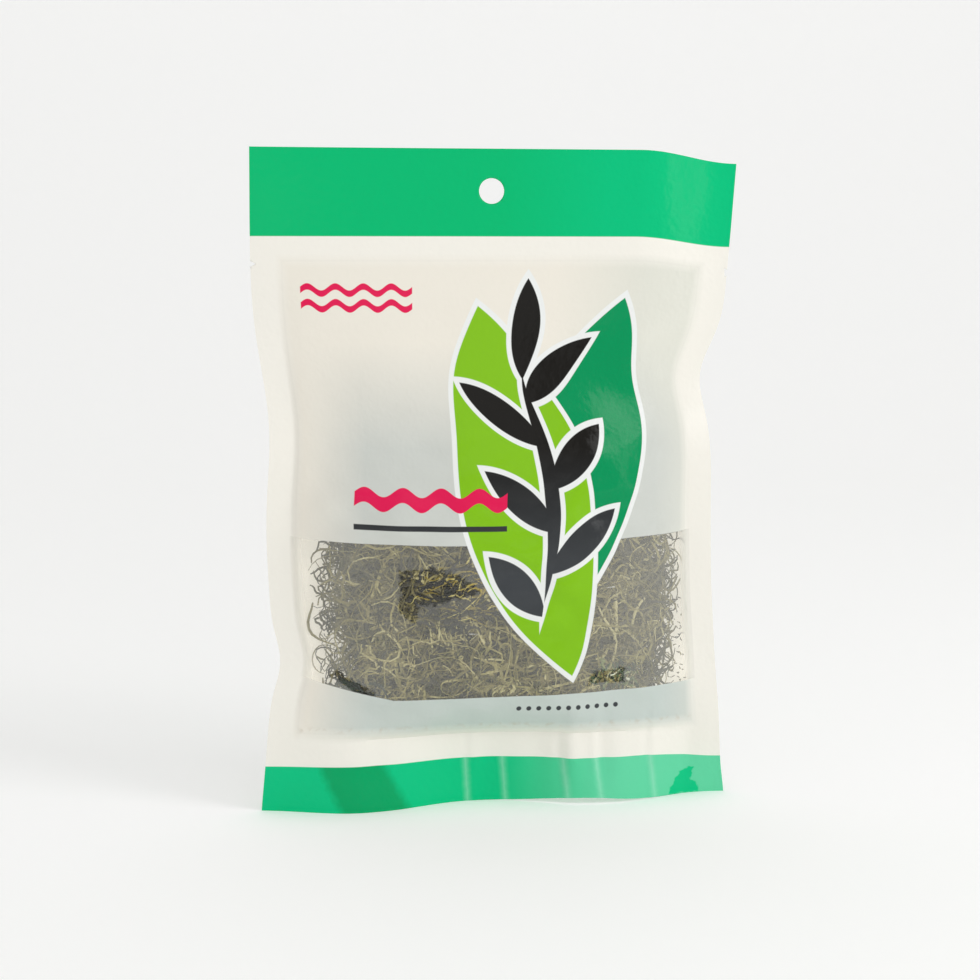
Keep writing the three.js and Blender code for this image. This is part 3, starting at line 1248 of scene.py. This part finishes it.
@dataclass(frozen=True)
class SeaweedFinish:
    """Colours and gloss of the dried shreds."""

    name: str = "dried_shreds"
    black: Colour = linear(24, 22, 14)
    brown: Colour = linear(58, 54, 31)
    olive: Colour = linear(114, 105, 58)
    straw: Colour = linear(164, 153, 94)
    pale: Colour = linear(206, 196, 142)
    stops: tuple = (0.0, 0.26, 0.56, 0.84, 1.0)
    blotch_scale: float = 130.0
    blotch_share: float = 0.45
    fibre_scale: float = 900.0
    fibre_share: float = 0.2
    fibre_strength: float = 0.5
    fibre_depth: float = 0.0003
    roughness: float = 0.5
    roughness_spread: float = 0.3

    def dress(self) -> bpy.types.Material:
        """Colours each shred by its own draw, held in its UV map, with darker stretches along it.

        Returns:
            The shreds' material.
        """
        board = Board(self.name)
        draw = board.split(board.sheet_place())[0]
        place = board.object_place()
        blotch = board.noise(place, self.blotch_scale, detail=0.0) - NOISE_MIDDLE
        grain = board.noise(place, self.fibre_scale, detail=0.0)
        fibre = grain - NOISE_MIDDLE
        tone = draw + blotch * self.blotch_share + fibre * self.fibre_share
        stops = list(zip(self.stops, (self.black, self.brown, self.olive, self.straw, self.pale)))
        board.feed(board.shader, {
            "Base Color": board.node("ShaderNodeValToRGB", {"stops": stops}, {"Fac": tone}, "Color"),
            "Roughness": fibre * self.roughness_spread + self.roughness,
            "Normal": board.bump(grain, self.fibre_strength, self.fibre_depth),
        })
        return board.material


DAMP_SHREDS = SeaweedFinish(
    name="pressed_shreds",
    black=linear(12, 12, 6),
    brown=linear(38, 36, 12),
    olive=linear(92, 84, 22),
    straw=linear(168, 146, 44),
    pale=linear(214, 200, 120),
    roughness=0.36,
)
GREEN_SHREDS = SeaweedFinish(
    name="green_shreds",
    black=linear(8, 14, 6),
    brown=linear(16, 38, 12),
    olive=linear(40, 74, 24),
    straw=linear(150, 160, 96),
    pale=linear(238, 238, 212),
    roughness=0.36,
)


@dataclass(frozen=True)
class BunchOutline:
    """The squared-off outline of the bunch, seen from the front. Millimetres."""

    middle_z: float = 82.0
    half_width: float = 58.6
    half_height: float = 55.0
    squareness: float = 0.38

    def share(self, x: Array, z: Array) -> Array:
        """How far out a spot is, by the formula of a superellipse.

        Args:
            x: X of each spot.
            z: Z of each spot.

        Returns:
            0 at the bunch's middle, 1 on its outline.
        """
        power = 2.0 / self.squareness
        across = np.abs(x / self.half_width) ** power
        up = np.abs((z - self.middle_z) / self.half_height) ** power
        return (across + up) ** (1.0 / power)

    def rounded(self, part: Array) -> Array:
        """A cosine or sine of the angle round the middle, squared off as the outline is."""
        return np.sign(part) * np.abs(part) ** self.squareness


@dataclass
class ShredLayer:
    """Many curled shreds that lie behind one sheet of film. Millimetres.

    The region holds where they start: left, right, lowest, highest. A rim or a tone is a mean and a
    deviation, and the other pairs are a least and a greatest value.
    """

    name: str
    sheet: FilmSheet
    count: int
    region: tuple
    seed: int
    depth: float = 3.2
    nearest: float = 0.35
    outline: BunchOutline = BunchOutline()
    rim: tuple = (0.95, 0.05)
    rim_most: float = 1.02
    lengths: tuple = (16.0, 46.0)
    widths: tuple = (0.6, 1.45)
    thickness: float = 0.32
    points: int = 10
    heading: float = 0.0
    spread: float = math.pi
    curl: float = 2.0
    sway: float = 0.7
    sway_turns: tuple = (0.8, 2.4)
    weave: float = 1.6
    weave_turns: tuple = (0.4, 1.3)
    weave_phase: float = 9.0
    past_middle: float = 0.5
    start_twist: float = 0.6
    more_twist: float = 1.3
    tip_share: float = 0.45
    tip_cut: float = 0.04
    tip_round: float = 0.6
    tone: tuple = (0.42, 0.22)
    film_gap: float = 0.1
    other_share: float = 0.8
    other_gap: float = 1.0
    smooth_angle: float = 70.0

    def paths(self, rng: np.random.Generator) -> Array:
        """Middle lines of the shreds.

        Each follows a heading that turns at a steady rate with a sway on it. It is moved in whole where it
        leaves the bunch, and laid at a wandering distance behind the film.

        Args:
            rng: the seeded draw.

        Returns:
            An array of shreds by points by X, Y and Z.
        """
        many, along = self.count, np.linspace(0.0, 1.0, self.points)
        left, right, low, high = self.region
        start_x = rng.uniform(left, right, (many, 1))
        start_z = rng.uniform(low, high, (many, 1))
        length = rng.uniform(*self.lengths, (many, 1))
        turn = rng.normal(0.0, self.curl, (many, 1)) * along
        sway = rng.normal(0.0, self.sway, (many, 1))
        swung = along * rng.uniform(*self.sway_turns, (many, 1)) + rng.uniform(0.0, 1.0, (many, 1))
        sway = sway * np.sin(TURN * swung)
        heading = self.heading + rng.uniform(-self.spread, self.spread, (many, 1)) + turn + sway
        step = length / (self.points - 1)
        x = start_x + np.cumsum(np.cos(heading), axis=1) * step
        z = start_z + np.cumsum(np.sin(heading), axis=1) * step
        share = self.outline.share(x, z)
        worst = np.argmax(share, axis=1)[:, None]
        limit = np.minimum(rng.normal(*self.rim, (many, 1)), self.rim_most)
        pull = np.minimum(1.0, limit / np.take_along_axis(share, worst, axis=1)) - 1.0
        x = x + pull * np.take_along_axis(x, worst, axis=1)
        z = z + pull * (np.take_along_axis(z, worst, axis=1) - self.outline.middle_z)
        behind = self.nearest + rng.exponential(self.depth, (many, 1))
        woven = TURN * along * rng.uniform(*self.weave_turns, (many, 1)) + behind * self.weave_phase
        behind = behind + self.weave * np.sin(woven)
        form = self.sheet.form
        u = form.u_at(x, z)
        room = self.sheet.depth(u, z + form.sag(u, z)) - self.thickness
        inwards = np.maximum(room - np.maximum(behind, self.nearest), -self.past_middle * room)
        y = form.middle_y(u, z) + self.sheet.side.value * inwards
        return np.stack([x, y, z], axis=-1)

    def kept_inside(self, points: Array) -> Array:
        """Moves points that would pass through a sheet of film back to just inside it.

        Args:
            points: one row of X, Y and Z each.

        Returns:
            The points, with their Y between the two sheets.
        """
        form = self.sheet.form
        x, y, z = points.T
        u = form.u_at(x, z)
        middle = form.middle_y(u, z)
        b = z + form.sag(u, z)
        outer = self.sheet.depth(u, b) - self.film_gap
        other = np.maximum(self.other_share * form.half_room(u, b) - self.other_gap, 0.0)
        offset = np.clip((y - middle) * self.sheet.side.value, -other, np.maximum(outer, 0.0))
        return np.stack([x, middle + offset * self.sheet.side.value, z], axis=1)

    def build(self) -> bpy.types.Object:
        """Carries a flat four-cornered section along each path, twisting, narrow at both ends.

        Returns:
            The shreds as one object.
        """
        rng = np.random.default_rng(self.seed)
        path = self.paths(rng)
        many, stops = self.count, self.points
        ahead = np.gradient(path, axis=1)
        ahead /= np.linalg.norm(ahead, axis=-1, keepdims=True) + TINY
        outwards = np.array([0.0, float(self.sheet.side.value), 0.0])
        across = np.cross(ahead, outwards)
        across /= np.linalg.norm(across, axis=-1, keepdims=True) + TINY
        lift = np.cross(across, ahead)
        along = np.linspace(0.0, 1.0, stops)
        twist = rng.normal(0.0, self.start_twist, (many, 1))
        twist = twist + rng.normal(0.0, self.more_twist, (many, 1)) * along
        cos, sin = np.cos(twist)[..., None], np.sin(twist)[..., None]
        wide, thin = across * cos + lift * sin, lift * cos - across * sin
        rounded = np.sin(math.pi * np.clip(along, self.tip_cut, 1.0 - self.tip_cut)) ** self.tip_round
        taper = lerp(self.tip_share, 1.0, rounded)
        half = (rng.uniform(*self.widths, (many, 1)) / 2.0 * taper)[..., None]
        edge = (np.full((many, stops), self.thickness / 2.0) * taper)[..., None]
        wide, thin = wide * half, thin * edge
        ring = np.stack([path + wide, path + thin, path - wide, path - thin], axis=2)
        points = self.kept_inside(ring.reshape(-1, 3))
        sides = SECTION_CORNERS
        first = (np.arange(many)[:, None] * stops + np.arange(stops - 1)).reshape(-1, 1) * sides
        here = first + np.arange(sides)
        after = first + (np.arange(sides) + 1) % sides
        walls = np.stack([here, after, after + sides, here + sides], axis=-1).reshape(-1, 4)
        root = np.arange(many)[:, None] * stops * sides + np.arange(sides)
        ends = np.concatenate([root[:, ::-1], root + (stops - 1) * sides])
        draws = np.clip(rng.normal(*self.tone, many), 0.0, 1.0)
        uv = np.stack([np.repeat(draws, stops * sides), np.tile(np.repeat(along, sides), many)], axis=1)
        faces = np.concatenate([walls, ends]).tolist()
        return mesh_object(self.name, points, faces, uv, self.smooth_angle)


@dataclass
class ShredHeart:
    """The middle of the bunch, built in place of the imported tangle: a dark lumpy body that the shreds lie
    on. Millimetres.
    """

    form: PouchForm
    outline: BunchOutline = BunchOutline()
    inset: float = 5.0
    least_room: float = 0.35
    share: float = 0.82
    edge_round: float = 0.4
    lump_height: float = 0.16
    lump_waves: int = 12
    lump_sizes: tuple = (6.0, 16.0)
    lump_limits: tuple = (0.6, 1.15)
    rows: int = 60
    columns: int = 96
    smooth_angle: float = 180.0
    seed: int = 7

    def build(self) -> bpy.types.Object:
        """Spreads a ball's grid over the bunch's outline and lets it follow the film at a distance.

        Returns:
            The heart's object.
        """
        lat = np.linspace(0.0, math.pi, self.rows)
        lon = np.linspace(0.0, TURN, self.columns, endpoint=False)
        lat, lon = np.meshgrid(lat, lon, indexing="ij")
        radius, sign = np.sin(lat), np.cos(lat)
        bunch = self.outline
        x = self.share * bunch.half_width * radius * bunch.rounded(np.cos(lon))
        z = bunch.middle_z + self.share * bunch.half_height * radius * bunch.rounded(np.sin(lon))
        u = self.form.u_at(x, z)
        room = self.form.half_room(u, z)
        rng = np.random.default_rng(self.seed)
        lumps = 1.0 + self.lump_height * ripples(x, z, rng, self.lump_waves, *self.lump_sizes)
        thick = np.maximum(room - self.inset, self.least_room * room) * np.abs(sign) ** self.edge_round
        y = self.form.middle_y(u, z) - np.sign(sign) * thick * np.clip(lumps, *self.lump_limits)
        points = np.stack([x, y, z], axis=-1).reshape(-1, 3)
        numbers = np.arange(self.rows * self.columns).reshape(self.rows, self.columns)
        here, ahead = numbers[:-1], np.roll(numbers, -1, axis=1)[:-1]
        above, corner = numbers[1:], np.roll(numbers, -1, axis=1)[1:]
        faces = np.stack([here, ahead, corner, above], axis=-1).reshape(-1, 4)
        uv = np.zeros((len(points), 2))
        made = mesh_object("shred_heart", points, faces.tolist(), uv, self.smooth_angle)
        close_mesh(made)
        return made


def close_mesh(made: bpy.types.Object) -> None:
    """Merges doubled points, such as those at a grid's poles, and turns the faces outwards.

    Args:
        made: the object to mend.
    """
    work = bmesh.new()
    work.from_mesh(made.data)
    bmesh.ops.remove_doubles(work, verts=work.verts, dist=WELD_DISTANCE)
    bmesh.ops.recalc_face_normals(work, faces=work.faces)
    work.to_mesh(made.data)
    work.free()


# The studio


@dataclass(frozen=True)
class Lamp:
    """A soft lamp: its place, its width and height in metres, and its power in watts."""

    name: str
    place: tuple
    size: tuple
    power: float


@dataclass(frozen=True)
class Studio:
    """A pale sweep, soft lamps and the camera. Metres."""

    floor_half: float = 3.0
    sweep_from: float = 0.9
    sweep_radius: float = 0.7
    sweep_points: int = 17
    wall_height: float = 3.0
    smooth_angle: float = 60.0
    floor_colour: Colour = linear(247, 247, 246)
    floor_grain: float = 0.04
    floor_grain_scale: float = 3.0
    floor_roughness: float = 0.75
    floor_specular: float = 0.2
    floor_glow: float = 0.15
    world_colour: Colour = WHITE
    world_strength: float = 0.64
    lamps: tuple = (
        Lamp("key", place=(1.1, -0.9, 0.9), size=(0.8, 0.8), power=6.0),
        Lamp("front", place=(0.0, -1.9, 1.3), size=(1.6, 1.6), power=5.0),
        Lamp("strip", place=(0.95, -0.85, 0.35), size=(0.14, 0.9), power=0.8),
    )
    target: tuple = (-0.0031, 0.0, 0.1022)
    azimuth: float = -9.0
    elevation: float = 6.0
    distance: float = 0.7
    pixels_per_mm: float = 3.133
    frame_pixels: float = 980.0
    sensor: float = 36.0

    def backdrop(self) -> bpy.types.Object:
        """A floor that sweeps up into a wall: floor, quarter circle and wall, carried along X.

        Returns:
            The backdrop's object.
        """
        turn = np.linspace(0.0, TURN / 4.0, self.sweep_points)
        along = np.concatenate([[-self.floor_half], self.sweep_from + self.sweep_radius * np.sin(turn)])
        up = np.concatenate([[0.0], self.sweep_radius * (1.0 - np.cos(turn))])
        along = np.append(along, along[-1])
        up = np.append(up, self.wall_height)
        x, y = np.meshgrid([-self.floor_half, self.floor_half], along)
        z = np.repeat(up[:, None], 2, axis=1)
        points = np.stack([x, y, z], axis=-1).reshape(-1, 3) / MM
        faces = grid_faces(len(up), 2).tolist()
        made = mesh_object("backdrop", points, faces, np.zeros((len(points), 2)), self.smooth_angle)
        board = Board("pale_floor")
        grain = board.noise(board.object_place(), self.floor_grain_scale)
        board.feed(board.shader, {
            "Base Color": board.mix(grain * self.floor_grain, self.floor_colour, WHITE),
            "Roughness": self.floor_roughness,
            "Specular IOR Level": self.floor_specular,
            "Emission Color": (*self.floor_colour, 1.0),
            "Emission Strength": self.floor_glow,
        })
        made.data.materials.append(board.material)
        return made

    def hang(self, lamp: Lamp) -> None:
        """Puts up a lamp that faces the pouch's middle.

        Args:
            lamp: the lamp.
        """
        light = bpy.data.lights.new(lamp.name, "AREA")
        light.shape = "RECTANGLE"
        light.size, light.size_y = lamp.size
        light.energy = lamp.power
        made = bpy.data.objects.new(lamp.name, light)
        made.location = lamp.place
        aim = Vector(self.target) - Vector(lamp.place)
        made.rotation_euler = aim.to_track_quat("-Z", "Y").to_euler()
        bpy.context.scene.collection.objects.link(made)

    def light(self) -> None:
        """Lights the pouch from all round, and hangs the soft lamps."""
        world = bpy.data.worlds.new("soft_white")
        world.use_nodes = True
        ground = world.node_tree.nodes["Background"]
        ground.inputs["Color"].default_value = (*self.world_colour, 1.0)
        ground.inputs["Strength"].default_value = self.world_strength
        bpy.context.scene.world = world
        for lamp in self.lamps:
            self.hang(lamp)
        bpy.context.scene.view_settings.view_transform = "Standard"

    def camera(self) -> None:
        """Places the camera at the photo's angle and distance."""
        turn, rise = math.radians(self.azimuth), math.radians(self.elevation)
        back = Vector((math.sin(turn) * math.cos(rise), -math.cos(turn) * math.cos(rise), math.sin(rise)))
        lens = bpy.data.cameras.new("camera")
        lens.sensor_width = self.sensor
        focal = self.pixels_per_mm / MM * self.distance
        lens.lens = focal / self.frame_pixels * self.sensor
        made = bpy.data.objects.new("camera", lens)
        made.location = Vector(self.target) + back * self.distance
        made.rotation_euler = (-back).to_track_quat("-Z", "Y").to_euler()
        bpy.context.scene.collection.objects.link(made)
        bpy.context.scene.camera = made


# The whole pouch


@dataclass
class WakamePouch:
    """Both sheets of film and the shreds between them."""

    form: PouchForm = field(default_factory=PouchForm)
    layout: PrintLayout = field(default_factory=PrintLayout)

    def film(self) -> None:
        """Builds and dresses the two sheets."""
        dresses = {
            Side.FRONT: ((Zone.FRONT, PLAIN_LINING), (Zone.WINDOW, LiningFinish())),
            Side.BACK: ((Zone.BACK, WHITE_LINING),),
        }
        for side, pairs in dresses.items():
            sheet = FilmSheet(self.form, side)
            piece = sheet.build()
            finishes = []
            for zone, lining in pairs:
                finishes += [FilmInk(FilmFinish(zone), self.layout).dress(), lining.dress()]
            sheet.dress(piece, finishes)
            self.place(piece, f"{side.name.lower()}_film", f"pouch_{side.name.lower()}")

    def shreds(self) -> None:
        """Builds and dresses the shreds and their packed middle."""
        dry, damp, green = (finish.dress() for finish in (SeaweedFinish(), DAMP_SHREDS, GREEN_SHREDS))
        front, back = (FilmSheet(self.form, side) for side in Side)
        lace = {
            "lengths": (5.0, 15.0), "widths": (0.4, 0.85), "curl": 2.6, "tone": (0.36, 0.2), "depth": 4.0,
            "rim": (1.0, 0.035), "rim_most": 1.06,
        }
        pressed = {
            "region": (-32.0, -10.0, 62.0, 76.5), "heading": math.radians(10.0), "spread": 0.5, "curl": 0.8,
            "depth": 0.4, "rim": (0.9, 0.0),
        }
        layers = [
            (dry, ShredLayer(
                "shreds_near", front, count=1500, region=(-47.0, 54.0, 28.0, 96.0), seed=11, depth=1.1,
                nearest=0.25, rim=(0.92, 0.06), rim_most=1.0, points=12, sway=1.1, widths=(0.45, 1.15),
                tone=(0.58, 0.25), lengths=(12.0, 40.0),
            )),
            (dry, ShredLayer(
                "shreds_deep", front, count=1300, region=(-44.0, 52.0, 28.0, 96.0), seed=19, depth=3.0,
                nearest=1.6, rim=(0.88, 0.05), tone=(0.36, 0.2),
            )),
            (dry, ShredLayer(
                "shreds_upper", front, count=600, region=(-52.0, 52.0, 86.0, 136.0), seed=12,
                rim=(0.88, 0.06),
            )),
            (dry, ShredLayer(
                "shreds_back", back, count=1100, region=(-48.0, 48.0, 30.0, 136.0), seed=13,
                rim=(0.82, 0.05),
            )),
            (dry, ShredLayer(
                "lace_left", front, count=240, region=(-57.0, -38.0, 32.0, 96.0), seed=14, **lace,
            )),
            (dry, ShredLayer(
                "lace_right", front, count=190, region=(44.0, 57.0, 32.0, 96.0), seed=15, **lace,
            )),
            (dry, ShredLayer(
                "strays_left", front, count=14, region=(-60.0, -54.0, 60.0, 92.0), seed=16,
                rim=(1.05, 0.03), rim_most=1.09, lengths=(12.0, 26.0), points=12,
            )),
            (dry, ShredLayer(
                "crumbs_right", front, count=34, region=(58.0, 61.5, 32.0, 66.0), seed=20,
                rim=(1.12, 0.02), rim_most=1.14, lengths=(0.5, 1.2), widths=(0.3, 0.6), points=3,
            )),
            (damp, ShredLayer(
                "clump_dark", front, count=150, seed=17, nearest=0.12, widths=(0.8, 1.7),
                lengths=(8.0, 18.0), tone=(0.07, 0.08), **pressed,
            )),
            (damp, ShredLayer(
                "clump_streaks", front, count=60, seed=21, nearest=0.04, widths=(0.35, 0.8),
                lengths=(9.0, 20.0), tone=(0.72, 0.18), **pressed,
            )),
            (green, ShredLayer(
                "clump_green", front, count=90, region=(30.0, 43.0, 39.5, 44.5), seed=18, depth=0.4,
                nearest=0.08, lengths=(2.0, 7.0), tone=(0.3, 0.34), points=6,
            )),
            (green, ShredLayer(
                "dark_line", front, count=12, region=(-56.0, -53.0, 42.5, 44.0), seed=22, depth=0.2,
                nearest=0.08, heading=math.radians(-30.0), spread=0.08, curl=0.2, lengths=(13.0, 17.0),
                tone=(0.1, 0.06),
            )),
        ]
        pieces = [(material, layer.build()) for material, layer in layers]
        for material, piece in pieces + [(dry, ShredHeart(self.form).build())]:
            piece.data.materials.append(material)
            self.place(piece, "dried_seaweed", "seaweed_tangle")

    def place(self, piece: bpy.types.Object, slot: str, node: str) -> None:
        """Rides a piece on the body and hides the node that it stands for.

        Args:
            piece: the finished piece.
            slot: the record's material slot; not used.
            node: the node that it replaces.
        """
        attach(piece, BODY)
        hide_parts(node)
        LOG.info("%s: %d faces", piece.name, len(piece.data.polygons))


def main() -> None:
    """Loads the frame, dresses the pouch, and sets the studio round it."""
    logging.basicConfig(level=logging.INFO, format="%(name)s %(message)s")
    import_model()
    studio = Studio()
    studio.camera()
    pouch = WakamePouch()
    pouch.film()
    pouch.shreds()
    studio.backdrop()
    studio.light()


if __name__ == "__main__":
    main()
